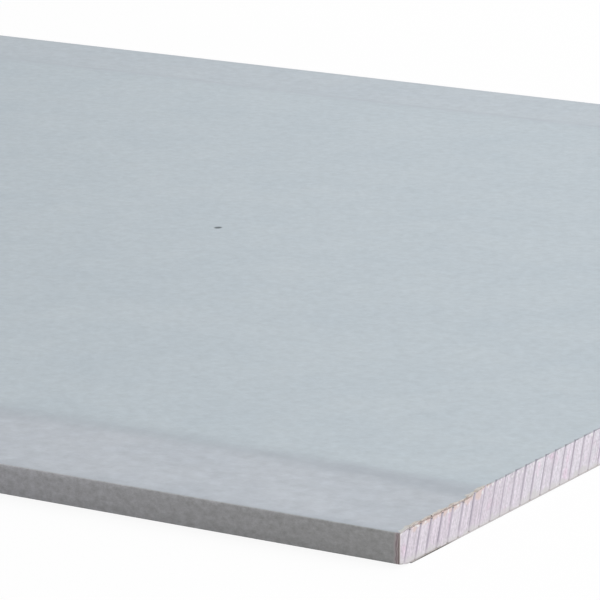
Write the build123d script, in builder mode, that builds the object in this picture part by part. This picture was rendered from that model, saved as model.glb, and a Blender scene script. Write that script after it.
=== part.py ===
"""Drywall sheet with tapered long edges, lying face up.

A gypsum core is cast between two papers. The face paper covers the top, follows the taper along both long
edges, wraps those edges and turns in under the core as a flap. The back paper covers the underside and laps
over both flaps. The short ends are sawn square, so the core and the papers end flush there.

Frame: X along the length, Y across the width, Z up, origin under the middle of the sheet. Millimetres.
"""

import os

from build123d import *

# Sheet, over its papers
sheet_length = 2000.0
sheet_width = 600.0
sheet_thickness = 12.5

# Papers
face_paper_thickness = 0.4
back_paper_thickness = 0.4
flap_reach = 25.0  # from the long edge to the rim of the flap
back_paper_margin = 7.0  # from the long edge to the rim of the back paper

# Taper along each long edge, where joint tape and filler lie below the face
land_width = 46.0  # level strip beside the edge
ramp_width = 8.0  # rise from the land to the face
taper_depth = 1.4
ramp_share = 0.76  # part of the ramp that the roundings at its foot and shoulder take up

# Bound long edge of the core
fold_radius = 0.1  # rounding under each fold of the face paper
bevel_width = 4.5
bevel_height = 0.9

# Heights and half widths of the core, inside the papers
core_top = sheet_thickness - face_paper_thickness
core_land = core_top - taper_depth
core_back = back_paper_thickness + face_paper_thickness  # over the flaps
core_edge = sheet_width / 2 - face_paper_thickness
ramp_foot = sheet_width / 2 - land_width
ramp_shoulder = ramp_foot - ramp_width
ramp_radius = ramp_share * ramp_width**2 / taper_depth

os.makedirs("parts", exist_ok=True)

# Section of the core as far as the face paper wraps it, drawn as one half and mirrored
with BuildSketch() as wrapped_section:
    with BuildLine():
        FilletPolyline(
            (0, core_back),
            (core_edge - bevel_width, core_back),
            (core_edge, core_back + bevel_height),
            (core_edge, core_land),
            (ramp_foot, core_land),
            (ramp_shoulder, core_top),
            (0, core_top),
            radius=(fold_radius, fold_radius, fold_radius, ramp_radius, ramp_radius),
        )
        mirror(about=Plane.YZ)
    make_face()

# Gypsum core, which reaches down to the back paper between the two flaps
with BuildPart() as gypsum_core:
    with BuildSketch(Plane.YZ) as core_section:
        add(wrapped_section.sketch_local)
        with Locations((0, core_back)):
            Rectangle(
                sheet_width - 2 * flap_reach,
                face_paper_thickness,
                align=(Align.CENTER, Align.MAX),
            )
    extrude(amount=sheet_length / 2, both=True)
gypsum_core.part.label = "gypsum_core"

# Face paper, an even skin round the core that stops at the rims of the flaps
with BuildPart() as face_paper:
    with BuildSketch(Plane.YZ):
        add(wrapped_section.sketch_local)
        offset(amount=face_paper_thickness, kind=Kind.INTERSECTION)
        add(core_section.sketch_local, mode=Mode.SUBTRACT)
    extrude(amount=sheet_length / 2, both=True)
face_paper.part.label = "face_paper"

# Back paper, flat under the core and lapped over the flaps
with BuildPart() as back_paper:
    with BuildSketch(Plane.XY):
        Rectangle(sheet_length, sheet_width - 2 * back_paper_margin)
    extrude(amount=back_paper_thickness)
back_paper.part.label = "back_paper"

export_step(gypsum_core.part, "parts/gypsum_core.step")
export_step(face_paper.part, "parts/face_paper.step")
export_step(back_paper.part, "parts/back_paper.step")
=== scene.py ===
"""Looks of a drywall sheet lying face up: its papers, its sawn gypsum core and a plain studio round it.

Metres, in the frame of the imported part: X along the sheet, Y across it, Z up.
"""

import math
import random

import bmesh
import bpy
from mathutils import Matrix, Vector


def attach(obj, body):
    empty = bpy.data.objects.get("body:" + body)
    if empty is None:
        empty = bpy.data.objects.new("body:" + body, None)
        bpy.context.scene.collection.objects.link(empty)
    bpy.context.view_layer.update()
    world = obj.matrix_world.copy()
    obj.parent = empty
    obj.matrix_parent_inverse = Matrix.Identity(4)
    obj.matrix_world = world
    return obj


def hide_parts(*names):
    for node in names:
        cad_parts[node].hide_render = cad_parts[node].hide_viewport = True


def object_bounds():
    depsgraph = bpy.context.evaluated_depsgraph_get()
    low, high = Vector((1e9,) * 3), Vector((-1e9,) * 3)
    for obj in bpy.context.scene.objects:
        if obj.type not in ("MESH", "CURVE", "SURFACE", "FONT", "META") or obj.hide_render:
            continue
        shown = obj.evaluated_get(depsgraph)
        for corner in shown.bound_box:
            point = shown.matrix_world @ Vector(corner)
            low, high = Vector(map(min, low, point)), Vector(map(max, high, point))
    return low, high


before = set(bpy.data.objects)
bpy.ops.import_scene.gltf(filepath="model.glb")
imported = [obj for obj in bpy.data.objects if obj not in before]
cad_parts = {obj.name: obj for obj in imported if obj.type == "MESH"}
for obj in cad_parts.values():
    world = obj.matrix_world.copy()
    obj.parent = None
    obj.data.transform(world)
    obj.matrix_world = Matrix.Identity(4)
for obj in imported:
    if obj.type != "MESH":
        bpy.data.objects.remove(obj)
cad_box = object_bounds()

MM = 0.001

# Sheet over its papers
length, width, thickness = cad_box[1] - cad_box[0]
end_x = length / 2
edge_y = width / 2

# Papers
paper = 0.4 * MM
flap_reach = 25 * MM
flap_rim = edge_y - flap_reach
back_margin = 7 * MM
back_rim = edge_y - back_margin

# Taper and bound edge of the core
land_width = 46 * MM
ramp_width = 8 * MM
taper_depth = 1.4 * MM
bevel_width = 4.5 * MM
bevel_height = 0.9 * MM
fold_rounding = 0.1 * MM
fold_segments = 4
ramp_rounding = 0.38 * ramp_width
ramp_segments = 8

# Core inside the papers
core_top = thickness - paper
core_land = core_top - taper_depth
core_back = 2 * paper
core_edge = edge_y - paper
land_top = thickness - taper_depth
ramp_foot = edge_y - land_width
ramp_shoulder = ramp_foot - ramp_width
ramp_middle = (ramp_foot + ramp_shoulder) / 2

# Saw marks across the ends, and the uneven cut between them
mark_first = 6.8 * MM
mark_pitch = 6.54 * MM
mark_lean = math.radians(18.5)
mark_slant = math.tan(mark_lean)
mark_width = 1.2 * MM
mark_width_shares = (0.75, 1.2)
mark_depth = 0.5 * MM
mark_depth_shares = (0.8, 1.2)
mark_stray = 0.12 * MM
mark_seed = 32
end_roughness = 0.2 * MM
end_wave = 3 * MM

# Crease of the taper, which strays along the sheet with the points near it
crease_step = 25 * MM
crease_stray = 11.4 * MM
crease_wave = 170 * MM
crease_reach = 1.2 * ramp_rounding

# Paper torn by the saw over the taper, and its pulp pulled into fluff next to the corner
tear_reach = 2.5 * MM
tear_step = 1.1 * MM
tear_wave = 3.5 * MM
tear_depth = 1.0 * MM
tear_curl = 0.9 * MM
fluff_start = edge_y - 9 * MM
fluff_full = edge_y - 5 * MM

# Dark fleck on the face
fleck_place = (747 * MM, 5 * MM, thickness)
fleck_half = (1.6 * MM, 2 * MM, 2 * MM)

# Camera of the photograph
camera_place = (1599.2 * MM, -1359.0 * MM, 382.8 * MM)
camera_pitch = math.radians(13.9214)
camera_roll = math.radians(-0.0933)
camera_turn = math.radians(30.9083)
camera_lens = 260.556
camera_sensor = 36.0

# Floor, its shadow as the eye sees it, and the grey light that it throws back
floor_size = 60
floor_drop = 0.1 * MM
floor_inset = 2 * MM
shadow_share = 0.07
floor_grey = 0.47

# Even sky, and a broad far lamp at an angle above the floor and one round from +X towards +Y
sky_level = 0.31
sun_height = math.radians(30)
sun_side = math.radians(14)
sun_breadth = math.radians(40)
sun_level = 0.416

# Softboxes: place, aim, sides of the front and power
softboxes = {
    "strip softbox": ((1.122, -0.1, 0.42), (0.804, -0.291, 0.0), (3.0, 0.3), 3.44),
    "fill softbox": ((-1.6, 0.3, 2.0), (-0.9, 0.0, 0.0), (1.6, 1.6), 14),
    "front softbox": ((0.25, -1.0, 0.3), (0.85, -0.3, 0.0), (0.4, 0.4), 0.6),
}

# Sockets and settings of a Mix node that lays one colour over another or multiplies the two
SHARE, UNDER, OVER, MIXED = 0, 6, 7, 2
LAID = {"data_type": "RGBA"}
MULTIPLIED = {"data_type": "RGBA", "blend_type": "MULTIPLY"}

# Range that most of a noise pattern lies in
NOISE_SPAN = {"From Min": 0.3, "From Max": 0.7}

WHITE = (1, 1, 1, 1)

smoothing_angle = math.radians(35)
tolerance = 0.01 * MM


# Small helpers

def linear(colour):
    """Turns a hex colour of the screen into the linear colour that a shader takes."""
    shares = [int(colour[i : i + 2], 16) / 255 for i in (0, 2, 4)]
    return [s / 12.92 if s <= 0.04045 else ((s + 0.055) / 1.055) ** 2.4 for s in shares] + [1.0]


def add_node(tree, kind, inputs=None, **settings):
    """Adds a node with its own settings. Inputs are values, or outputs of other nodes to link."""
    made = tree.nodes.new(kind)
    for name, value in settings.items():
        setattr(made, name, value)
    for name, value in (inputs or {}).items():
        if isinstance(value, bpy.types.NodeSocket):
            tree.links.new(value, made.inputs[name])
        else:
            made.inputs[name].default_value = value
    return made


def new_material(name):
    """Gives a new material and its empty node tree."""
    material = bpy.data.materials.new(name)
    material.use_nodes = True
    material.node_tree.nodes.clear()
    return material, material.node_tree


def choose(piece):
    """Makes the piece the only one selected."""
    bpy.ops.object.select_all(action="DESELECT")
    piece.select_set(True)
    bpy.context.view_layer.objects.active = piece


def open_piece(piece):
    """Opens the piece, and no other, in edit mode."""
    choose(piece)
    bpy.ops.object.mode_set(mode="EDIT")


def close_piece():
    bpy.ops.object.mode_set(mode="OBJECT")


def select(piece, kind, passes):
    """In edit mode, selects the vertices, or the edges by their middles, that pass the test."""
    bpy.ops.mesh.select_mode(type=kind)
    bpy.ops.mesh.select_all(action="DESELECT")
    mesh = bmesh.from_edit_mesh(piece.data)
    if kind == "VERT":
        chosen = [v for v in mesh.verts if passes(v.co)]
    else:
        chosen = [e for e in mesh.edges if passes((e.verts[0].co + e.verts[1].co) / 2)]
    for item in chosen:
        item.select_set(True)
    mesh.select_flush_mode()
    bmesh.update_edit_mesh(piece.data)


def cut_across(place, normal):
    """In edit mode, adds a line of edges right round the piece on a plane."""
    bpy.ops.mesh.select_all(action="SELECT")
    bpy.ops.mesh.bisect(plane_co=place, plane_no=normal)


def cut_along(lines):
    """In edit mode, adds lines along the sheet, at these distances on both sides of its middle."""
    for line in lines:
        for side in (-1, 1):
            cut_across((0, side * line, 0), (0, 1, 0))


def add_square(name, size=1, place=(0, 0, 0)):
    """Adds a flat square to start a piece from."""
    bpy.ops.object.select_all(action="DESELECT")
    bpy.ops.mesh.primitive_plane_add(size=size, location=place)
    made = bpy.context.object
    made.name = name
    return made


def copy_piece(piece, name):
    """Copies a piece with a mesh of its own."""
    choose(piece)
    bpy.ops.object.duplicate()
    made = bpy.context.object
    made.name = name
    return made


def finish_with(piece, kind, **settings):
    """Adds a modifier with its settings and applies it."""
    choose(piece)
    bpy.ops.object.modifier_add(type=kind)
    modifier = piece.modifiers[-1]
    for name, value in settings.items():
        setattr(modifier, name, value)
    bpy.ops.object.modifier_apply(modifier=modifier.name)


def group_points(piece, name, weigh):
    """Makes a vertex group, with the weight that each place gives."""
    group = piece.vertex_groups.new(name=name)
    for vertex in piece.data.vertices:
        weight = weigh(vertex.co)
        if weight > 0:
            group.add([vertex.index], weight, "REPLACE")
    return group.name


def push(piece, group, pattern, direction, middle, reach):
    """Moves a group of points along an axis, forwards where a pattern is above its middle, else back."""
    finish_with(
        piece, "DISPLACE", texture=pattern, texture_coords="LOCAL", direction=direction,
        vertex_group=group, mid_level=middle, strength=reach,
    )


def smooth(piece):
    choose(piece)
    bpy.ops.object.shade_smooth_by_angle(angle=smoothing_angle)


# Places on the sheet that several materials read

def sheet_places(tree):
    """Gives the coordinates on a piece, its X, Y and Z, and the distance from the sheet's middle line."""
    mapped = add_node(tree, "ShaderNodeTexCoord").outputs
    axes = add_node(tree, "ShaderNodeSeparateXYZ", {0: mapped["Object"]}).outputs
    across = add_node(tree, "ShaderNodeMath", {0: axes["Y"]}, operation="ABSOLUTE").outputs[0]
    return mapped, axes, across


def end_distance(tree, axes):
    """Gives the distance from the nearer sawn end."""
    along = add_node(tree, "ShaderNodeMath", {0: axes["X"]}, operation="ABSOLUTE").outputs[0]
    return add_node(tree, "ShaderNodeMath", {0: end_x, 1: along}, operation="SUBTRACT").outputs[0]


def paper_depth(tree, axes, across):
    """Gives the depth under the face paper, which follows the taper."""
    roof = add_node(
        tree, "ShaderNodeMapRange",
        {
            "Value": across,
            "From Min": ramp_shoulder,
            "From Max": ramp_foot,
            "To Min": core_top,
            "To Max": core_land,
        },
    ).outputs[0]
    return add_node(tree, "ShaderNodeMath", {0: roof, 1: axes["Z"]}, operation="SUBTRACT").outputs[0]


def mark_places(tree, axes):
    """Gives the place across the sheet, taken along the saw marks to the floor, and its count in marks."""
    upright = add_node(
        tree, "ShaderNodeMath", {0: axes["Z"], 1: -mark_slant, 2: axes["Y"]}, operation="MULTIPLY_ADD",
    ).outputs[0]
    first = -edge_y + mark_first - thickness * mark_slant
    count = add_node(tree, "ShaderNodeMath", {0: upright, 1: first}, operation="SUBTRACT").outputs[0]
    count = add_node(tree, "ShaderNodeMath", {0: count, 1: mark_pitch}, operation="DIVIDE").outputs[0]
    return upright, count


# Materials

def face_paper_material():
    """Grey-blue machine-finished board paper, several layers of recycled pulp.

    Matt and even from afar. Close by it shows fibres laid along the sheet, soft clouds in the pulp and
    tiny specks. It is greyer where it was wetted and pressed over the taper, and browner where it is cut.
    """
    material, tree = new_material("board paper, grey-blue face")
    mapped, axes, across = sheet_places(tree)
    place = mapped["Object"]
    from_end = end_distance(tree, axes)

    # Pulp clouds about 30 mm wide, a little bluer or greyer
    clouds = add_node(
        tree, "ShaderNodeTexNoise",
        {"Vector": place, "Scale": 1 / (30 * MM), "Detail": 5, "Roughness": 0.65},
    ).outputs["Fac"]
    clouds = add_node(tree, "ShaderNodeMapRange", {"Value": clouds, **NOISE_SPAN}).outputs[0]
    tone = add_node(
        tree, "ShaderNodeMix", {SHARE: clouds, UNDER: linear("BBC5CC"), OVER: linear("C0C9CF")}, **LAID,
    ).outputs[MIXED]

    # Grain about 4 mm wide from the felt of the paper machine
    grain = add_node(
        tree, "ShaderNodeTexNoise", {"Vector": place, "Scale": 1 / (4 * MM), "Detail": 4, "Roughness": 0.7},
    ).outputs["Fac"]
    grain = add_node(
        tree, "ShaderNodeMapRange", {"Value": grain, **NOISE_SPAN, "To Min": 0.94, "To Max": 1.06},
    ).outputs[0]
    tone = add_node(
        tree, "ShaderNodeMix", {SHARE: 1.0, UNDER: tone, OVER: grain}, **MULTIPLIED,
    ).outputs[MIXED]

    # Fibres 0.6 mm wide and some 2 mm long, wider than real ones so as to show
    fibre_place = add_node(tree, "ShaderNodeMapping", {"Vector": place, "Scale": (0.3, 1, 1)}).outputs[0]
    fibres = add_node(
        tree, "ShaderNodeTexNoise", {"Vector": fibre_place, "Scale": 1 / (0.6 * MM), "Detail": 3},
    ).outputs["Fac"]
    fibre_tone = add_node(
        tree, "ShaderNodeMapRange", {"Value": fibres, **NOISE_SPAN, "To Min": 0.975, "To Max": 1.025},
    ).outputs[0]
    tone = add_node(
        tree, "ShaderNodeMix", {SHARE: 1.0, UNDER: tone, OVER: fibre_tone}, **MULTIPLIED,
    ).outputs[MIXED]

    # Specks of dark pulp, one in some cells 9 mm wide
    specks = add_node(
        tree, "ShaderNodeTexVoronoi", {"Vector": place, "Scale": 1 / (9 * MM)},
    ).outputs["Distance"]
    specks = add_node(
        tree, "ShaderNodeMapRange",
        {"Value": specks, "From Min": 0.015, "From Max": 0.04, "To Min": 0.35, "To Max": 0.0},
    ).outputs[0]
    tone = add_node(
        tree, "ShaderNodeMix", {SHARE: specks, UNDER: tone, OVER: linear("8F9699")}, **LAID,
    ).outputs[MIXED]

    # Taper, greyer than the face, most of all along the -Y edge
    land = add_node(
        tree, "ShaderNodeMapRange", {"Value": across, "From Min": ramp_shoulder, "From Max": ramp_foot},
        interpolation_type="SMOOTHSTEP",
    ).outputs[0]
    rubbed = add_node(
        tree, "ShaderNodeMapRange",
        {"Value": axes["Y"], "From Min": -edge_y, "From Max": edge_y, "To Min": 1.0, "To Max": 0.3},
    ).outputs[0]
    land = add_node(tree, "ShaderNodeMath", {0: land, 1: rubbed}, operation="MULTIPLY").outputs[0]
    tone = add_node(
        tree, "ShaderNodeMix", {SHARE: land, UNDER: tone, OVER: linear("FFFAFB")}, **MULTIPLIED,
    ).outputs[MIXED]

    # Blotches 6 mm wide on the taper, where the wetted pulp dried unevenly
    blotches = add_node(
        tree, "ShaderNodeTexNoise", {"Vector": place, "Scale": 1 / (6 * MM), "Detail": 3},
    ).outputs["Fac"]
    blotches = add_node(
        tree, "ShaderNodeMapRange", {"Value": blotches, **NOISE_SPAN, "To Min": 0.95, "To Max": 1.05},
    ).outputs[0]
    tone = add_node(
        tree, "ShaderNodeMix", {SHARE: land, UNDER: tone, OVER: blotches}, **MULTIPLIED,
    ).outputs[MIXED]

    # Painted shade in the crease, on the slope of the taper, mixed with dirt, and a soft band of painted
    # shade beside it that spreads wider on the +Y side
    lean = add_node(tree, "ShaderNodeSeparateXYZ", {0: mapped["Normal"]}).outputs["Y"]
    lean = add_node(tree, "ShaderNodeMath", {0: lean}, operation="ABSOLUTE").outputs[0]
    slope = add_node(
        tree, "ShaderNodeMapRange", {"Value": lean, "From Min": 0.01, "From Max": 0.17},
    ).outputs[0]
    spread = add_node(
        tree, "ShaderNodeMapRange",
        {"Value": axes["Y"], "From Min": 0.0, "From Max": edge_y, "To Min": 0.0, "To Max": 0.5},
    ).outputs[0]
    beside = add_node(tree, "ShaderNodeMath", {0: across, 1: ramp_middle}, operation="SUBTRACT").outputs[0]
    beside = add_node(tree, "ShaderNodeMath", {0: beside}, operation="ABSOLUTE").outputs[0]
    beside = add_node(
        tree, "ShaderNodeMapRange",
        {"Value": beside, "From Min": 0.0, "From Max": 13 * MM, "To Min": spread, "To Max": 0.0},
        interpolation_type="SMOOTHSTEP",
    ).outputs[0]
    slope = add_node(tree, "ShaderNodeMath", {0: slope, 1: beside}, operation="MAXIMUM").outputs[0]

    # The dirt and painted shade lie in streaks 6 mm wide and 20 mm long, and are strongest near the sawn
    # ends
    crease_strength = add_node(
        tree, "ShaderNodeMapRange",
        {"Value": axes["Y"], "From Min": -edge_y, "From Max": edge_y, "To Min": 0.27, "To Max": 0.62},
    ).outputs[0]
    near_end_strength = add_node(
        tree, "ShaderNodeMapRange",
        {"Value": from_end, "From Min": 20 * MM, "From Max": 90 * MM, "To Min": 0.7, "To Max": crease_strength},
        interpolation_type="SMOOTHSTEP",
    ).outputs[0]
    crease_streak_place = add_node(tree, "ShaderNodeMapping", {"Vector": place, "Scale": (0.3, 1, 1)}).outputs[0]
    dirt_and_crease_shade = add_node(
        tree, "ShaderNodeTexNoise",
        {"Vector": crease_streak_place, "Scale": 1 / (6 * MM), "Detail": 4, "Roughness": 0.7},
    ).outputs["Fac"]
    dirt_and_crease_shade = add_node(
        tree, "ShaderNodeMapRange", {"Value": dirt_and_crease_shade, **NOISE_SPAN, "To Min": 0.4, "To Max": 1.6},
    ).outputs[0]
    dirt_and_crease_shade = add_node(tree, "ShaderNodeMath", {0: dirt_and_crease_shade, 1: slope}, operation="MULTIPLY").outputs[0]
    dirt_and_crease_shade = add_node(tree, "ShaderNodeMath", {0: dirt_and_crease_shade, 1: near_end_strength}, operation="MULTIPLY").outputs[0]
    tone = add_node(
        tree, "ShaderNodeMix", {SHARE: dirt_and_crease_shade, UNDER: tone, OVER: linear("AFB6BE")}, **LAID,
    ).outputs[MIXED]

    # Strip beside the saw cut where the top layer of the taper is torn off, with a ragged border
    ragged = add_node(
        tree, "ShaderNodeTexNoise", {"Vector": place, "Scale": 1 / (4 * MM), "Detail": 4},
    ).outputs["Fac"]
    strip = add_node(
        tree, "ShaderNodeMapRange",
        {"Value": ragged, "From Min": 0.3, "From Max": 0.65, "To Min": 0.4 * MM, "To Max": 2.6 * MM},
    ).outputs[0]
    outer = add_node(
        tree, "ShaderNodeMapRange",
        {
            "Value": across,
            "From Min": edge_y - 1.5 * MM,
            "From Max": edge_y - 0.3 * MM,
            "To Min": 1.0,
            "To Max": 0.0,
        },
    ).outputs[0]
    inner = add_node(
        tree, "ShaderNodeMapRange",
        {"Value": across, "From Min": ramp_shoulder - 1 * MM, "From Max": ramp_foot},
    ).outputs[0]
    strip = add_node(tree, "ShaderNodeMath", {0: strip, 1: outer}, operation="MULTIPLY").outputs[0]
    strip = add_node(tree, "ShaderNodeMath", {0: strip, 1: inner}, operation="MULTIPLY").outputs[0]
    strip = add_node(tree, "ShaderNodeMath", {0: strip, 1: from_end}, operation="SUBTRACT").outputs[0]
    strip = add_node(
        tree, "ShaderNodeMapRange",
        {"Value": strip, "From Min": 0.0, "From Max": 0.3 * MM, "To Min": 0.0, "To Max": 0.9},
    ).outputs[0]

    # The strip is cream with brown tufts 1.5 mm wide, and paler next to the corner
    tufts = add_node(
        tree, "ShaderNodeTexNoise", {"Vector": place, "Scale": 1 / (1.5 * MM), "Detail": 3},
    ).outputs["Fac"]
    tufts = add_node(
        tree, "ShaderNodeMapRange", {"Value": tufts, "From Min": 0.45, "From Max": 0.65},
    ).outputs[0]
    strip_tone = add_node(
        tree, "ShaderNodeMix", {SHARE: tufts, UNDER: linear("D6D1CB"), OVER: linear("BEB1A5")}, **LAID,
    ).outputs[MIXED]
    fluff = add_node(
        tree, "ShaderNodeMapRange", {"Value": across, "From Min": fluff_start, "From Max": fluff_full},
    ).outputs[0]
    strip_tone = add_node(
        tree, "ShaderNodeMix", {SHARE: fluff, UNDER: strip_tone, OVER: linear("CFD0CD")}, **LAID,
    ).outputs[MIXED]
    tone = add_node(
        tree, "ShaderNodeMix", {SHARE: strip, UNDER: tone, OVER: strip_tone}, **LAID,
    ).outputs[MIXED]

    # Bound edge, rubbed to a grey with a coarse grain 2 mm wide
    bound = add_node(
        tree, "ShaderNodeMapRange", {"Value": lean, "From Min": 0.3, "From Max": 0.8},
    ).outputs[0]
    rub_place = add_node(tree, "ShaderNodeMapping", {"Vector": place, "Scale": (0.7, 1, 1)}).outputs[0]
    rub = add_node(
        tree, "ShaderNodeTexNoise",
        {"Vector": rub_place, "Scale": 1 / (2 * MM), "Detail": 4, "Roughness": 0.8},
    ).outputs["Fac"]
    rub = add_node(tree, "ShaderNodeMapRange", {"Value": rub, **NOISE_SPAN}).outputs[0]
    rub_tone = add_node(
        tree, "ShaderNodeMix", {SHARE: rub, UNDER: linear("B6B6B5"), OVER: linear("DDDDDE")}, **LAID,
    ).outputs[MIXED]

    # It is darker towards the sawn ends, and has a painted highlight at the upper fold away from them
    away_from_ends = add_node(
        tree, "ShaderNodeMapRange", {"Value": from_end, "From Min": 0.0, "From Max": 170 * MM},
    ).outputs[0]
    end_darkening = add_node(
        tree, "ShaderNodeMix", {SHARE: away_from_ends, UNDER: linear("EBEBEB"), OVER: linear("F8F8FE")}, **LAID,
    ).outputs[MIXED]
    rub_tone = add_node(
        tree, "ShaderNodeMix", {SHARE: 1.0, UNDER: rub_tone, OVER: end_darkening}, **MULTIPLIED,
    ).outputs[MIXED]
    fold_highlight = add_node(
        tree, "ShaderNodeMapRange",
        {
            "Value": axes["Z"],
            "From Min": land_top - 2 * MM,
            "From Max": land_top,
            "To Min": 0.0,
            "To Max": 0.3,
        },
        interpolation_type="SMOOTHSTEP",
    ).outputs[0]
    fold_highlight = add_node(
        tree, "ShaderNodeMath", {0: fold_highlight, 1: away_from_ends, 2: 1.0}, operation="MULTIPLY_ADD",
    ).outputs[0]
    rub_tone = add_node(
        tree, "ShaderNodeMix", {SHARE: 1.0, UNDER: rub_tone, OVER: fold_highlight}, **MULTIPLIED,
    ).outputs[MIXED]
    tone = add_node(
        tree, "ShaderNodeMix", {SHARE: bound, UNDER: tone, OVER: rub_tone}, **LAID,
    ).outputs[MIXED]

    # Brown and pale layers where the saw tore the bound edge
    layers = add_node(
        tree, "ShaderNodeMath", {0: ragged, 1: 2 * MM, 2: from_end}, operation="MULTIPLY_ADD",
    ).outputs[0]
    layers = add_node(
        tree, "ShaderNodeMapRange", {"Value": layers, "From Min": 1.0 * MM, "From Max": 3.4 * MM},
    ).outputs[0]
    layer_tones = add_node(tree, "ShaderNodeValToRGB", {"Fac": layers})
    stops = layer_tones.color_ramp.elements
    stops[0].color = linear("BFB5B5")
    stops[1].color = linear("C8C5C5")
    for share, colour in (
        (0.12, "A39494"),
        (0.24, "A39494"),
        (0.32, "DED3D4"),
        (0.40, "A8989C"),
        (0.52, "A8989C"),
        (0.62, "C6BEBF"),
    ):
        stops.new(share).color = linear(colour)
    torn = add_node(
        tree, "ShaderNodeMapRange",
        {"Value": layers, "From Min": 0.7, "From Max": 1.0, "To Min": 1.0, "To Max": 0.0},
    ).outputs[0]
    torn = add_node(tree, "ShaderNodeMath", {0: torn, 1: bound}, operation="MULTIPLY").outputs[0]
    tone = add_node(
        tree, "ShaderNodeMix", {SHARE: torn, UNDER: tone, OVER: layer_tones.outputs["Color"]}, **LAID,
    ).outputs[MIXED]

    # One dark fleck near the middle line of the face
    fleck = add_node(
        tree, "ShaderNodeMapping",
        {
            "Vector": place,
            "Location": [-p / h for p, h in zip(fleck_place, fleck_half)],
            "Scale": [1 / h for h in fleck_half],
        },
    ).outputs[0]
    fleck = add_node(tree, "ShaderNodeVectorMath", {0: fleck}, operation="LENGTH").outputs["Value"]
    fleck = add_node(
        tree, "ShaderNodeMapRange",
        {"Value": fleck, "From Min": 0.55, "From Max": 1.15, "To Min": 1.0, "To Max": 0.0},
        interpolation_type="SMOOTHSTEP",
    ).outputs[0]
    tone = add_node(
        tree, "ShaderNodeMix", {SHARE: fleck, UNDER: tone, OVER: linear("636B71")}, **LAID,
    ).outputs[MIXED]

    relief = add_node(
        tree, "ShaderNodeBump", {"Height": fibres, "Strength": 0.25, "Distance": 0.05 * MM},
    ).outputs[0]
    skin = add_node(
        tree, "ShaderNodeBsdfPrincipled",
        {"Base Color": tone, "Roughness": 0.85, "IOR": 1.5, "Specular IOR Level": 0.25, "Normal": relief},
    ).outputs[0]
    add_node(tree, "ShaderNodeOutputMaterial", {"Surface": skin})
    return material


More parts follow.
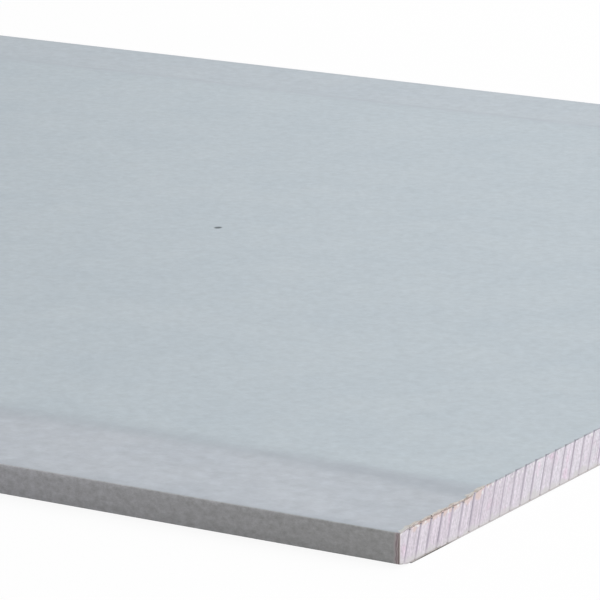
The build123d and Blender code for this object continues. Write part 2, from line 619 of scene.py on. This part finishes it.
def raw_paper_material():
    """Cut edge of both papers, layers of undyed pulp.

    Brown and cream where the saw opened the layers over the taper, and grey-blue like the face elsewhere.
    """
    material, tree = new_material("board paper, cut edge")
    mapped, axes, across = sheet_places(tree)

    # Brown and cream in tufts 2 mm wide
    tufts = add_node(
        tree, "ShaderNodeTexNoise", {"Vector": mapped["Object"], "Scale": 1 / (2 * MM), "Detail": 3},
    ).outputs["Fac"]
    pale = add_node(
        tree, "ShaderNodeMapRange", {"Value": tufts, "From Min": 0.35, "From Max": 0.65},
    ).outputs[0]
    tone = add_node(
        tree, "ShaderNodeMix", {SHARE: pale, UNDER: linear("A6988F"), OVER: linear("DDD5D0")}, **LAID,
    ).outputs[MIXED]

    # Between the tapers grey-blue, darkest at each saw mark where the paper is nicked, with painted shade
    # that fades out up to the next mark
    inland = add_node(
        tree, "ShaderNodeMapRange",
        {
            "Value": across,
            "From Min": ramp_shoulder - 3 * MM,
            "From Max": ramp_shoulder,
            "To Min": 1.0,
            "To Max": 0.0,
        },
    ).outputs[0]
    _, count = mark_places(tree, axes)
    share = add_node(tree, "ShaderNodeMath", {0: count}, operation="FRACT").outputs[0]
    share = add_node(
        tree, "ShaderNodeMath", {0: pale, 1: 0.4, 2: share}, operation="MULTIPLY_ADD",
    ).outputs[0]
    share = add_node(
        tree, "ShaderNodeMapRange", {"Value": share, "From Min": 0.2, "From Max": 0.9},
    ).outputs[0]
    inland_tone = add_node(
        tree, "ShaderNodeMix", {SHARE: share, UNDER: linear("9B9CA6"), OVER: linear("C6CAD0")}, **LAID,
    ).outputs[MIXED]
    tone = add_node(
        tree, "ShaderNodeMix", {SHARE: inland, UNDER: tone, OVER: inland_tone}, **LAID,
    ).outputs[MIXED]

    # Next to the corner paler, the pulp pulled into fluff
    fluff = add_node(
        tree, "ShaderNodeMapRange", {"Value": across, "From Min": fluff_start, "From Max": fluff_full},
    ).outputs[0]
    tone = add_node(
        tree, "ShaderNodeMix", {SHARE: fluff, UNDER: tone, OVER: linear("D0CAC8")}, **LAID,
    ).outputs[MIXED]

    # Underneath, the back paper is dark where it laps over the flap, from its layers and a painted shade of
    # the gap at the floor, and white with dust elsewhere
    lap_and_floor_shade = add_node(
        tree, "ShaderNodeMapRange", {"Value": across, "From Min": flap_rim - 12 * MM, "From Max": flap_rim},
        interpolation_type="SMOOTHSTEP",
    ).outputs[0]
    turned = add_node(
        tree, "ShaderNodeMapRange",
        {"Value": across, "From Min": edge_y - 15 * MM, "From Max": back_rim, "To Min": 1.0, "To Max": 0.5},
    ).outputs[0]
    outside = add_node(
        tree, "ShaderNodeMapRange",
        {"Value": axes["Z"], "From Min": 0.9 * paper, "From Max": 1.1 * paper, "To Min": 1.0, "To Max": 0.1},
    ).outputs[0]
    lap_and_floor_shade = add_node(tree, "ShaderNodeMath", {0: lap_and_floor_shade, 1: turned}, operation="MULTIPLY").outputs[0]
    lap_and_floor_shade = add_node(tree, "ShaderNodeMath", {0: lap_and_floor_shade, 1: outside}, operation="MULTIPLY").outputs[0]
    under_tone = add_node(
        tree, "ShaderNodeMix", {SHARE: lap_and_floor_shade, UNDER: linear("D0CCCD"), OVER: linear("767271")}, **LAID,
    ).outputs[MIXED]
    under = add_node(
        tree, "ShaderNodeMapRange",
        {"Value": axes["Z"], "From Min": 2 * MM, "From Max": 3 * MM, "To Min": 1.0, "To Max": 0.0},
    ).outputs[0]
    tone = add_node(
        tree, "ShaderNodeMix", {SHARE: under, UNDER: tone, OVER: under_tone}, **LAID,
    ).outputs[MIXED]

    relief = add_node(
        tree, "ShaderNodeBump", {"Height": tufts, "Strength": 0.5, "Distance": 0.1 * MM},
    ).outputs[0]
    skin = add_node(
        tree, "ShaderNodeBsdfPrincipled",
        {"Base Color": tone, "Roughness": 0.95, "IOR": 1.5, "Specular IOR Level": 0.2, "Normal": relief},
    ).outputs[0]
    add_node(tree, "ShaderNodeOutputMaterial", {"Surface": skin})
    return material


def back_paper_material():
    """Grey-brown recycled board paper, unsized on the outside.

    Duller and more speckled than the face, with fibres laid along the sheet.
    """
    material, tree = new_material("board paper, grey back")
    place = add_node(tree, "ShaderNodeTexCoord").outputs["Object"]

    # Fibres 0.8 mm wide and 10 mm long, wider than real ones so as to show
    fibre_place = add_node(tree, "ShaderNodeMapping", {"Vector": place, "Scale": (0.08, 1, 1)}).outputs[0]
    fibres = add_node(
        tree, "ShaderNodeTexNoise", {"Vector": fibre_place, "Scale": 1 / (0.8 * MM), "Detail": 4},
    ).outputs["Fac"]
    tone = add_node(
        tree, "ShaderNodeMix", {SHARE: fibres, UNDER: linear("ADA69B"), OVER: linear("C9C3B8")}, **LAID,
    ).outputs[MIXED]

    # Pulp clouds about 45 mm wide
    clouds = add_node(
        tree, "ShaderNodeTexNoise", {"Vector": place, "Scale": 1 / (45 * MM), "Detail": 3},
    ).outputs["Fac"]
    clouds = add_node(
        tree, "ShaderNodeMapRange", {"Value": clouds, **NOISE_SPAN, "To Min": 0.94, "To Max": 1.04},
    ).outputs[0]
    tone = add_node(
        tree, "ShaderNodeMix", {SHARE: 1.0, UNDER: tone, OVER: clouds}, **MULTIPLIED,
    ).outputs[MIXED]

    relief = add_node(
        tree, "ShaderNodeBump", {"Height": fibres, "Strength": 0.3, "Distance": 0.06 * MM},
    ).outputs[0]
    skin = add_node(
        tree, "ShaderNodeBsdfPrincipled",
        {"Base Color": tone, "Roughness": 0.9, "IOR": 1.5, "Specular IOR Level": 0.2, "Normal": relief},
    ).outputs[0]
    add_node(tree, "ShaderNodeOutputMaterial", {"Surface": skin})
    return material


def sawn_gypsum_material():
    """Cast gypsum with glass strands, sawn across.

    Chalky lilac white. The saw leaves fine scratches along its marks, and each band between two marks has
    a tone of its own. The core is greyer next to the back paper and peach under the paper of the taper.
    """
    material, tree = new_material("cast gypsum, sawn")
    mapped, axes, across = sheet_places(tree)
    place = mapped["Object"]
    upright, count = mark_places(tree, axes)

    # Bands between the marks, a little whiter away from the taper
    band = add_node(tree, "ShaderNodeMath", {0: count}, operation="FLOOR").outputs[0]
    chance = add_node(tree, "ShaderNodeTexWhiteNoise", {"W": band}, noise_dimensions="1D").outputs["Value"]
    tone = add_node(
        tree, "ShaderNodeMix", {SHARE: chance, UNDER: linear("ECE5EE"), OVER: linear("EBE1EC")}, **LAID,
    ).outputs[MIXED]
    inland = add_node(
        tree, "ShaderNodeMapRange",
        {
            "Value": across,
            "From Min": edge_y - 90 * MM,
            "From Max": edge_y - 45 * MM,
            "To Min": 1.0,
            "To Max": 0.0,
        },
    ).outputs[0]
    inland_tone = add_node(
        tree, "ShaderNodeMix", {SHARE: chance, UNDER: linear("F1EDF5"), OVER: linear("F0E9F3")}, **LAID,
    ).outputs[MIXED]
    tone = add_node(
        tree, "ShaderNodeMix", {SHARE: inland, UNDER: tone, OVER: inland_tone}, **LAID,
    ).outputs[MIXED]

    # Scratches 0.8 mm apart along the marks
    scratch_place = add_node(tree, "ShaderNodeCombineXYZ", {"X": upright, "Y": axes["Z"]}).outputs[0]
    scratch_place = add_node(
        tree, "ShaderNodeMapping", {"Vector": scratch_place, "Scale": (1, 0.05, 1)},
    ).outputs[0]
    scratches = add_node(
        tree, "ShaderNodeTexNoise",
        {"Vector": scratch_place, "Scale": 1 / (0.8 * MM), "Detail": 4, "Roughness": 0.6},
    ).outputs["Fac"]
    scratch_tone = add_node(
        tree, "ShaderNodeMapRange",
        {"Value": scratches, "From Min": 0.32, "From Max": 0.68, "To Min": 0.8, "To Max": 1.1},
    ).outputs[0]
    tone = add_node(
        tree, "ShaderNodeMix", {SHARE: 1.0, UNDER: tone, OVER: scratch_tone}, **MULTIPLIED,
    ).outputs[MIXED]

    # Speckle 1 mm wide, where the saw broke grains out of the gypsum
    grains = add_node(
        tree, "ShaderNodeTexNoise", {"Vector": place, "Scale": 1 / (1 * MM), "Detail": 2},
    ).outputs["Fac"]
    grains = add_node(
        tree, "ShaderNodeMapRange",
        {"Value": grains, "From Min": 0.35, "From Max": 0.65, "To Min": 0.9, "To Max": 1.1},
    ).outputs[0]
    tone = add_node(
        tree, "ShaderNodeMix", {SHARE: 1.0, UNDER: tone, OVER: grains}, **MULTIPLIED,
    ).outputs[MIXED]

    # Pinker in places about 7 mm wide
    blush = add_node(
        tree, "ShaderNodeTexNoise", {"Vector": place, "Scale": 1 / (7 * MM), "Detail": 2},
    ).outputs["Fac"]
    blush = add_node(
        tree, "ShaderNodeMapRange", {"Value": blush, "From Min": 0.55, "From Max": 0.7},
    ).outputs[0]
    tone = add_node(
        tree, "ShaderNodeMix", {SHARE: blush, UNDER: tone, OVER: linear("FFF4F9")}, **MULTIPLIED,
    ).outputs[MIXED]

    # Greyer next to the back paper, in patches 5 mm wide
    patches = add_node(
        tree, "ShaderNodeTexNoise", {"Vector": place, "Scale": 1 / (5 * MM), "Detail": 2},
    ).outputs["Fac"]
    low = add_node(
        tree, "ShaderNodeMath", {0: patches, 1: -7 * MM, 2: axes["Z"]}, operation="MULTIPLY_ADD",
    ).outputs[0]
    low = add_node(
        tree, "ShaderNodeMapRange",
        {"Value": low, "From Min": -2.5 * MM, "From Max": -0.9 * MM, "To Min": 0.8, "To Max": 0.0},
    ).outputs[0]
    tone = add_node(
        tree, "ShaderNodeMix", {SHARE: low, UNDER: tone, OVER: linear("E1DEDF")}, **LAID,
    ).outputs[MIXED]

    # Peach patches under the paper of the taper
    deep = paper_depth(tree, axes, across)
    peach = add_node(
        tree, "ShaderNodeMath", {0: patches, 1: -6 * MM, 2: deep}, operation="MULTIPLY_ADD",
    ).outputs[0]
    peach = add_node(
        tree, "ShaderNodeMapRange",
        {"Value": peach, "From Min": -2.6 * MM, "From Max": -1.6 * MM, "To Min": 0.8, "To Max": 0.0},
    ).outputs[0]
    inner = add_node(
        tree, "ShaderNodeMapRange",
        {"Value": across, "From Min": ramp_shoulder - 4 * MM, "From Max": ramp_shoulder},
    ).outputs[0]
    outer = add_node(
        tree, "ShaderNodeMapRange",
        {
            "Value": across,
            "From Min": edge_y - 9 * MM,
            "From Max": edge_y - 6 * MM,
            "To Min": 1.0,
            "To Max": 0.0,
        },
    ).outputs[0]
    peach = add_node(tree, "ShaderNodeMath", {0: peach, 1: inner}, operation="MULTIPLY").outputs[0]
    peach = add_node(tree, "ShaderNodeMath", {0: peach, 1: outer}, operation="MULTIPLY").outputs[0]
    tone = add_node(
        tree, "ShaderNodeMix", {SHARE: peach, UNDER: tone, OVER: linear("EBD6D0")}, **LAID,
    ).outputs[MIXED]

    # White crumbs 1 mm wide that the saw left under the paper
    crumbs = add_node(
        tree, "ShaderNodeTexNoise", {"Vector": place, "Scale": 1 / (2 * MM), "Detail": 1},
    ).outputs["Fac"]
    crumbs = add_node(
        tree, "ShaderNodeMapRange", {"Value": crumbs, "From Min": 0.6, "From Max": 0.66},
    ).outputs[0]
    crumb_zone = add_node(
        tree, "ShaderNodeMapRange",
        {"Value": deep, "From Min": 0.6 * MM, "From Max": 2.6 * MM, "To Min": 0.9, "To Max": 0.0},
    ).outputs[0]
    crumbs = add_node(tree, "ShaderNodeMath", {0: crumbs, 1: crumb_zone}, operation="MULTIPLY").outputs[0]
    tone = add_node(
        tree, "ShaderNodeMix", {SHARE: crumbs, UNDER: tone, OVER: linear("FBFAFB")}, **LAID,
    ).outputs[MIXED]

    relief = add_node(
        tree, "ShaderNodeBump", {"Height": scratches, "Strength": 0.4, "Distance": 0.15 * MM},
    ).outputs[0]
    skin = add_node(
        tree, "ShaderNodeBsdfPrincipled",
        {"Base Color": tone, "Roughness": 0.95, "IOR": 1.52, "Specular IOR Level": 0.2, "Normal": relief},
    ).outputs[0]
    add_node(tree, "ShaderNodeOutputMaterial", {"Surface": skin})
    return material


def saw_mark_material():
    """Gypsum in the bottom of a saw mark, packed with dust from the saw.

    Greyer than the open face of the cut, with painted shade that grows the deeper it is, and with painted
    shade darkest where it opens the paper. Dust that fell down the mark makes its foot paler.
    """
    material, tree = new_material("gypsum dust and painted shade, saw mark")
    mapped, axes, across = sheet_places(tree)

    # Packed dust in clouds 3 mm wide, made greyer with depth by painted shade
    dust = add_node(
        tree, "ShaderNodeTexNoise", {"Vector": mapped["Object"], "Scale": 1 / (3 * MM), "Detail": 3},
    ).outputs["Fac"]
    tone = add_node(
        tree, "ShaderNodeMix", {SHARE: dust, UNDER: linear("A69DAB"), OVER: linear("C4BBC8")}, **LAID,
    ).outputs[MIXED]
    depth_shade = add_node(
        tree, "ShaderNodeMapRange",
        {"Value": end_distance(tree, axes), "From Min": 0.1 * MM, "From Max": 0.4 * MM},
    ).outputs[0]
    tone = add_node(
        tree, "ShaderNodeMix", {SHARE: depth_shade, UNDER: linear("DDD5E0"), OVER: tone}, **LAID,
    ).outputs[MIXED]

    # Fallen dust at the foot
    fallen = add_node(
        tree, "ShaderNodeMapRange",
        {"Value": axes["Z"], "From Min": 1.2 * MM, "From Max": 2.8 * MM, "To Min": 0.65, "To Max": 0.0},
    ).outputs[0]
    tone = add_node(
        tree, "ShaderNodeMix", {SHARE: fallen, UNDER: tone, OVER: linear("DCD8DB")}, **LAID,
    ).outputs[MIXED]

    # Painted shade, darkest where the mark opens a paper except on the ramp of the taper, and at the mark's
    # foot over the back paper
    opened_paper_shade = add_node(
        tree, "ShaderNodeMapRange",
        {
            "Value": paper_depth(tree, axes, across),
            "From Min": 0.0,
            "From Max": 0.5 * MM,
            "To Min": 1.0,
            "To Max": 0.0,
        },
    ).outputs[0]
    on_ramp = add_node(
        tree, "ShaderNodeMath", {0: across, 1: ramp_middle, 2: ramp_width}, operation="COMPARE",
    ).outputs[0]
    opened_paper_shade = add_node(
        tree, "ShaderNodeMath", {0: opened_paper_shade, 1: on_ramp}, operation="SUBTRACT", use_clamp=True,
    ).outputs[0]
    under = add_node(
        tree, "ShaderNodeMapRange",
        {"Value": axes["Z"], "From Min": paper, "From Max": 2 * paper, "To Min": 0.5, "To Max": 0.0},
    ).outputs[0]
    opened_paper_shade = add_node(tree, "ShaderNodeMath", {0: opened_paper_shade, 1: under}, operation="MAXIMUM").outputs[0]
    inland = add_node(
        tree, "ShaderNodeMath", {0: across, 1: ramp_shoulder}, operation="LESS_THAN",
    ).outputs[0]
    opened_paper_shade_tone = add_node(
        tree, "ShaderNodeMix", {SHARE: inland, UNDER: linear("6A6566"), OVER: linear("9F9DA9")}, **LAID,
    ).outputs[MIXED]
    tone = add_node(
        tree, "ShaderNodeMix", {SHARE: opened_paper_shade, UNDER: tone, OVER: opened_paper_shade_tone}, **LAID,
    ).outputs[MIXED]

    skin = add_node(
        tree, "ShaderNodeBsdfPrincipled",
        {"Base Color": tone, "Roughness": 0.95, "IOR": 1.52, "Specular IOR Level": 0.2},
    ).outputs[0]
    add_node(tree, "ShaderNodeOutputMaterial", {"Surface": skin})
    return material


# Patterns that move points

sawing = bpy.data.textures.new("sawing", "CLOUDS")
sawing.noise_scale = end_wave
straying = bpy.data.textures.new("straying", "CLOUDS")
straying.noise_scale = crease_wave
straying.noise_depth = 0
tearing = bpy.data.textures.new("tearing", "CLOUDS")
tearing.noise_scale = tear_wave


# Pieces

def make_section():
    """The core's section at one end: a slab with tapers, bevels, folds and the pad between the flaps."""
    section = add_square("section", place=(-end_x, 0, (core_top + core_back) / 2))
    section.rotation_euler = (0, math.pi / 2, 0)
    section.scale = (core_top - core_back, 2 * core_edge, 1)
    bpy.ops.object.transform_apply()
    open_piece(section)
    cut_along((ramp_shoulder, ramp_foot, flap_rim, core_edge - bevel_width))
    select(section, "VERT", lambda p: abs(p.y) > ramp_foot - tolerance and p.z > core_top - tolerance)
    bpy.ops.transform.translate(value=(0, 0, -taper_depth))
    select(section, "VERT", lambda p: abs(p.y) > core_edge - tolerance and p.z < core_back + tolerance)
    bpy.ops.transform.translate(value=(0, 0, bevel_height))
    select(section, "EDGE", lambda p: abs(p.y) < flap_rim - tolerance and p.z < core_back + tolerance)
    bpy.ops.mesh.extrude_edges_move(TRANSFORM_OT_translate={"value": (0, 0, -paper)})
    bpy.ops.mesh.select_all(action="SELECT")
    bpy.ops.mesh.dissolve_faces(use_verts=False)
    select(
        section, "VERT",
        lambda p: abs(p.y) > core_edge - tolerance
        or (abs(p.y) > core_edge - bevel_width - tolerance and p.z < core_back + tolerance),
    )
    bpy.ops.mesh.bevel(offset=fold_rounding, segments=fold_segments, affect="VERTICES")
    select(
        section, "VERT",
        lambda p: ramp_shoulder - tolerance < abs(p.y) < ramp_foot + tolerance
        and p.z > core_land - tolerance,
    )
    bpy.ops.mesh.bevel(offset=ramp_rounding, segments=ramp_segments, affect="VERTICES")
    close_piece()
    return section


def make_saw_marks(material):
    """Bars that cut the leaning marks of a saw into one end, and their copy turned for the other end."""
    chance = random.Random(mark_seed)
    marks = add_square("saw_marks")
    open_piece(marks)
    bpy.ops.mesh.delete(type="VERT")
    top = -edge_y + mark_first
    while top < edge_y + thickness * mark_slant:
        bpy.ops.mesh.primitive_cylinder_add(
            vertices=4,
            radius=1,
            depth=2 * thickness,
            location=(
                end_x,
                top - thickness / 2 * mark_slant + chance.uniform(-mark_stray, mark_stray),
                thickness / 2,
            ),
            rotation=(-mark_lean, 0, 0),
            scale=(
                mark_depth * chance.uniform(*mark_depth_shares),
                mark_width / 2 * chance.uniform(*mark_width_shares),
                1,
            ),
        )
        top += mark_pitch
    close_piece()
    marks.data.materials.append(material)
    other = copy_piece(marks, "other_saw_marks")
    other.rotation_euler = (0, 0, math.pi)
    bpy.ops.object.transform_apply()
    return marks, other


def saw_ends(piece, bars):
    """Cuts the saw marks into both ends, sinks the ends unevenly between the marks, and clears slivers."""
    for bar in bars:
        finish_with(
            piece, "BOOLEAN", operation="DIFFERENCE", solver="EXACT", object=bar, material_mode="TRANSFER",
        )
    for side in (-1, 1):
        group = group_points(piece, f"end{side}", lambda p: float(side * p.x > end_x - tolerance))
        push(piece, group, sawing, "X", middle=1.0, reach=side * end_roughness)
    open_piece(piece)
    bpy.ops.mesh.select_all(action="SELECT")
    bpy.ops.mesh.dissolve_degenerate(threshold=tolerance)
    bpy.ops.mesh.quads_convert_to_tris(quad_method="BEAUTY", ngon_method="BEAUTY")
    close_piece()


def divide_length(piece):
    """In edit mode, divides the edges that run along the sheet, so that its crease can stray."""
    select(piece, "EDGE", lambda p: abs(p.x) < tolerance)
    bpy.ops.mesh.subdivide(number_cuts=round(length / crease_step) - 1)
    bpy.ops.mesh.select_all(action="SELECT")
    bpy.ops.mesh.normals_make_consistent(inside=False)


def stray_crease(piece):
    """Moves the ramp of each taper to and fro across the sheet."""
    group = group_points(
        piece, "crease",
        lambda p: float(
            ramp_shoulder - crease_reach < abs(p.y) < ramp_foot + crease_reach
            and p.z > core_land - tolerance
        ),
    )
    push(piece, group, straying, "Y", middle=0.5, reach=crease_stray)


def make_core(section, bars, gypsum):
    """The gypsum slab, sawn across at both ends."""
    core = copy_piece(section, "core_slab")
    open_piece(core)
    bpy.ops.mesh.select_all(action="SELECT")
    bpy.ops.mesh.extrude_region_move(TRANSFORM_OT_translate={"value": (length, 0, 0)})
    divide_length(core)
    close_piece()
    stray_crease(core)
    core.data.materials.append(gypsum)
    saw_ends(core, bars)
    smooth(core)
    return core


def tear_ends(liner):
    """Draws back and curls up the ends of the paper over the tapers."""
    for side in (-1, 1):
        group = group_points(
            liner, f"torn{side}",
            lambda p: float(side * p.x > end_x - tolerance and p.z > core_land - tolerance)
            * min(1, (core_edge - abs(p.y)) / tear_wave, max(0, (abs(p.y) - ramp_foot) / tear_wave)),
        )
        push(liner, group, tearing, "X", middle=0.8, reach=side * tear_depth)
        push(liner, group, tearing, "Z", middle=0.1, reach=tear_curl)


def thicken(liner, skin, cut):
    """Gives a paper its thickness, with its layers showing along the rim."""
    liner.data.materials.append(skin)
    liner.data.materials.append(cut)
    finish_with(liner, "SOLIDIFY", thickness=paper, offset=1.0, material_offset_rim=1)


def make_face_liner(section, bars, face, cut):
    """The face paper: drawn round the section, run along the sheet, strayed, torn, thickened and sawn."""
    liner = copy_piece(section, "face_liner")
    open_piece(liner)
    bpy.ops.mesh.select_all(action="SELECT")
    bpy.ops.mesh.delete(type="ONLY_FACE")
    select(liner, "EDGE", lambda p: abs(p.y) < flap_rim + tolerance and p.z < core_back - tolerance)
    bpy.ops.mesh.delete(type="EDGE")
    bpy.ops.mesh.select_mode(type="EDGE")
    bpy.ops.mesh.select_all(action="SELECT")
    bpy.ops.mesh.extrude_edges_move(TRANSFORM_OT_translate={"value": (length, 0, 0)})
    divide_length(liner)
    for side in (-1, 1):
        cut_across((side * (end_x - tear_reach), 0, 0), (1, 0, 0))
    select(
        liner, "EDGE",
        lambda p: min(abs(abs(p.x) - end_x), abs(abs(p.x) - end_x + tear_reach)) < tolerance
        and ramp_foot + ramp_rounding < abs(p.y) < core_edge - ramp_rounding
        and p.z > core_land - tolerance,
    )
    bpy.ops.mesh.subdivide(number_cuts=round(land_width / 2 / tear_step), ngon=False)
    close_piece()
    stray_crease(liner)
    tear_ends(liner)
    thicken(liner, face, cut)
    saw_ends(liner, bars)
    smooth(liner)
    return liner


def make_back_liner(back, cut):
    """The back paper: a flat strip under the core that laps over both flaps and is cut straight."""
    liner = add_square("back_liner")
    liner.scale = (length, width - 2 * back_margin, 1)
    bpy.ops.object.transform_apply()
    open_piece(liner)
    cut_along((ramp_shoulder, flap_rim))
    close_piece()
    thicken(liner, back, cut)
    smooth(liner)
    return liner


gypsum = sawn_gypsum_material()
face = face_paper_material()
cut = raw_paper_material()
back = back_paper_material()
bars = make_saw_marks(saw_mark_material())
section = make_section()

for piece, node, slot in (
    (make_core(section, bars, gypsum), "gypsum_core", "gypsum"),
    (make_face_liner(section, bars, face, cut), "face_paper", "face_paper"),
    (make_back_liner(back, cut), "back_paper", "back_paper"),
):
    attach(piece, "root")
    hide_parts(node)

for tool in (section, *bars):
    bpy.data.objects.remove(tool)


# Studio

def eye_share(tree):
    """Gives 1 where the eye sees a surface, straight or in gloss or glass, and 0 where it gives light."""
    ray = add_node(tree, "ShaderNodeLightPath").outputs
    seen = add_node(
        tree, "ShaderNodeMath", {0: ray["Is Camera Ray"], 1: ray["Is Glossy Ray"]}, operation="MAXIMUM",
    ).outputs[0]
    return add_node(
        tree, "ShaderNodeMath", {0: seen, 1: ray["Is Transmission Ray"]}, operation="MAXIMUM",
    ).outputs[0]


def floor_material():
    """Pale seamless paper. The eye sees it white with a faint shadow, and it throws back a soft grey light.

    It is clear from below and under the sheet, so that the back paper can be seen.
    """
    material, tree = new_material("seamless paper floor")
    white = add_node(tree, "ShaderNodeEmission", {"Color": WHITE, "Strength": 1.0}).outputs[0]
    shaded = add_node(tree, "ShaderNodeBsdfDiffuse", {"Color": WHITE}).outputs[0]
    shown = add_node(tree, "ShaderNodeMixShader", {0: shadow_share, 1: white, 2: shaded}).outputs[0]
    grey = add_node(
        tree, "ShaderNodeBsdfDiffuse", {"Color": (floor_grey, floor_grey, floor_grey, 1)},
    ).outputs[0]
    upper = add_node(tree, "ShaderNodeMixShader", {0: eye_share(tree), 1: grey, 2: shown}).outputs[0]
    clear = add_node(tree, "ShaderNodeBsdfTransparent").outputs[0]
    below = add_node(tree, "ShaderNodeNewGeometry").outputs["Backfacing"]
    _, axes, across = sheet_places(tree)
    from_end = end_distance(tree, axes)
    in_length = add_node(
        tree, "ShaderNodeMath", {0: from_end, 1: floor_inset}, operation="GREATER_THAN",
    ).outputs[0]
    in_width = add_node(tree, "ShaderNodeMath", {0: across, 1: back_rim}, operation="LESS_THAN").outputs[0]
    covered = add_node(tree, "ShaderNodeMath", {0: in_length, 1: in_width}, operation="MULTIPLY").outputs[0]
    opened = add_node(tree, "ShaderNodeMath", {0: below, 1: covered}, operation="MAXIMUM").outputs[0]
    both = add_node(tree, "ShaderNodeMixShader", {0: opened, 1: upper, 2: clear}).outputs[0]
    add_node(tree, "ShaderNodeOutputMaterial", {"Surface": both})
    return material


def make_floor():
    floor = add_square("floor", floor_size, (0, 0, -floor_drop))
    floor.data.materials.append(floor_material())


def make_sky():
    """An even sky for soft light from all round, white where it is seen."""
    sky = bpy.data.worlds.new("studio")
    bpy.context.scene.world = sky
    sky.use_nodes = True
    tree = sky.node_tree
    tree.nodes.clear()
    strength = add_node(
        tree, "ShaderNodeMapRange", {"Value": eye_share(tree), "To Min": sky_level, "To Max": 1.0},
    ).outputs[0]
    shine = add_node(tree, "ShaderNodeBackground", {"Color": WHITE, "Strength": strength}).outputs[0]
    add_node(tree, "ShaderNodeOutputWorld", {"Surface": shine})


def add_softbox(name, place, aim, front, power):
    """A lamp with a wide front, level along its first side, that faces a point and isn't itself seen."""
    bpy.ops.object.select_all(action="DESELECT")
    bpy.ops.object.light_add(type="AREA", location=place)
    lamp = bpy.context.object
    lamp.name = name
    run = [a - p for a, p in zip(aim, place)]
    lamp.rotation_euler = (
        math.atan2(math.hypot(run[0], run[1]), -run[2]), 0, math.atan2(run[1], run[0]) - math.pi / 2,
    )
    lamp.data.shape = "RECTANGLE"
    lamp.data.size, lamp.data.size_y = front
    lamp.data.energy = power
    lamp.visible_camera = False


def add_sun():
    bpy.ops.object.select_all(action="DESELECT")
    bpy.ops.object.light_add(type="SUN", rotation=(math.pi / 2 - sun_height, 0, math.pi / 2 + sun_side))
    lamp = bpy.context.object
    lamp.name = "broad far lamp"
    lamp.data.angle = sun_breadth
    lamp.data.energy = sun_level * math.pi


def add_camera():
    bpy.ops.object.camera_add(
        location=camera_place, rotation=(math.pi / 2 - camera_pitch, camera_roll, camera_turn),
    )
    camera = bpy.context.object
    camera.data.lens = camera_lens
    camera.data.sensor_width = camera_sensor
    bpy.context.scene.camera = camera


make_floor()
make_sky()
add_sun()
for name, setting in softboxes.items():
    add_softbox(name, *setting)
add_camera()
bpy.context.scene.view_settings.view_transform = "Standard"
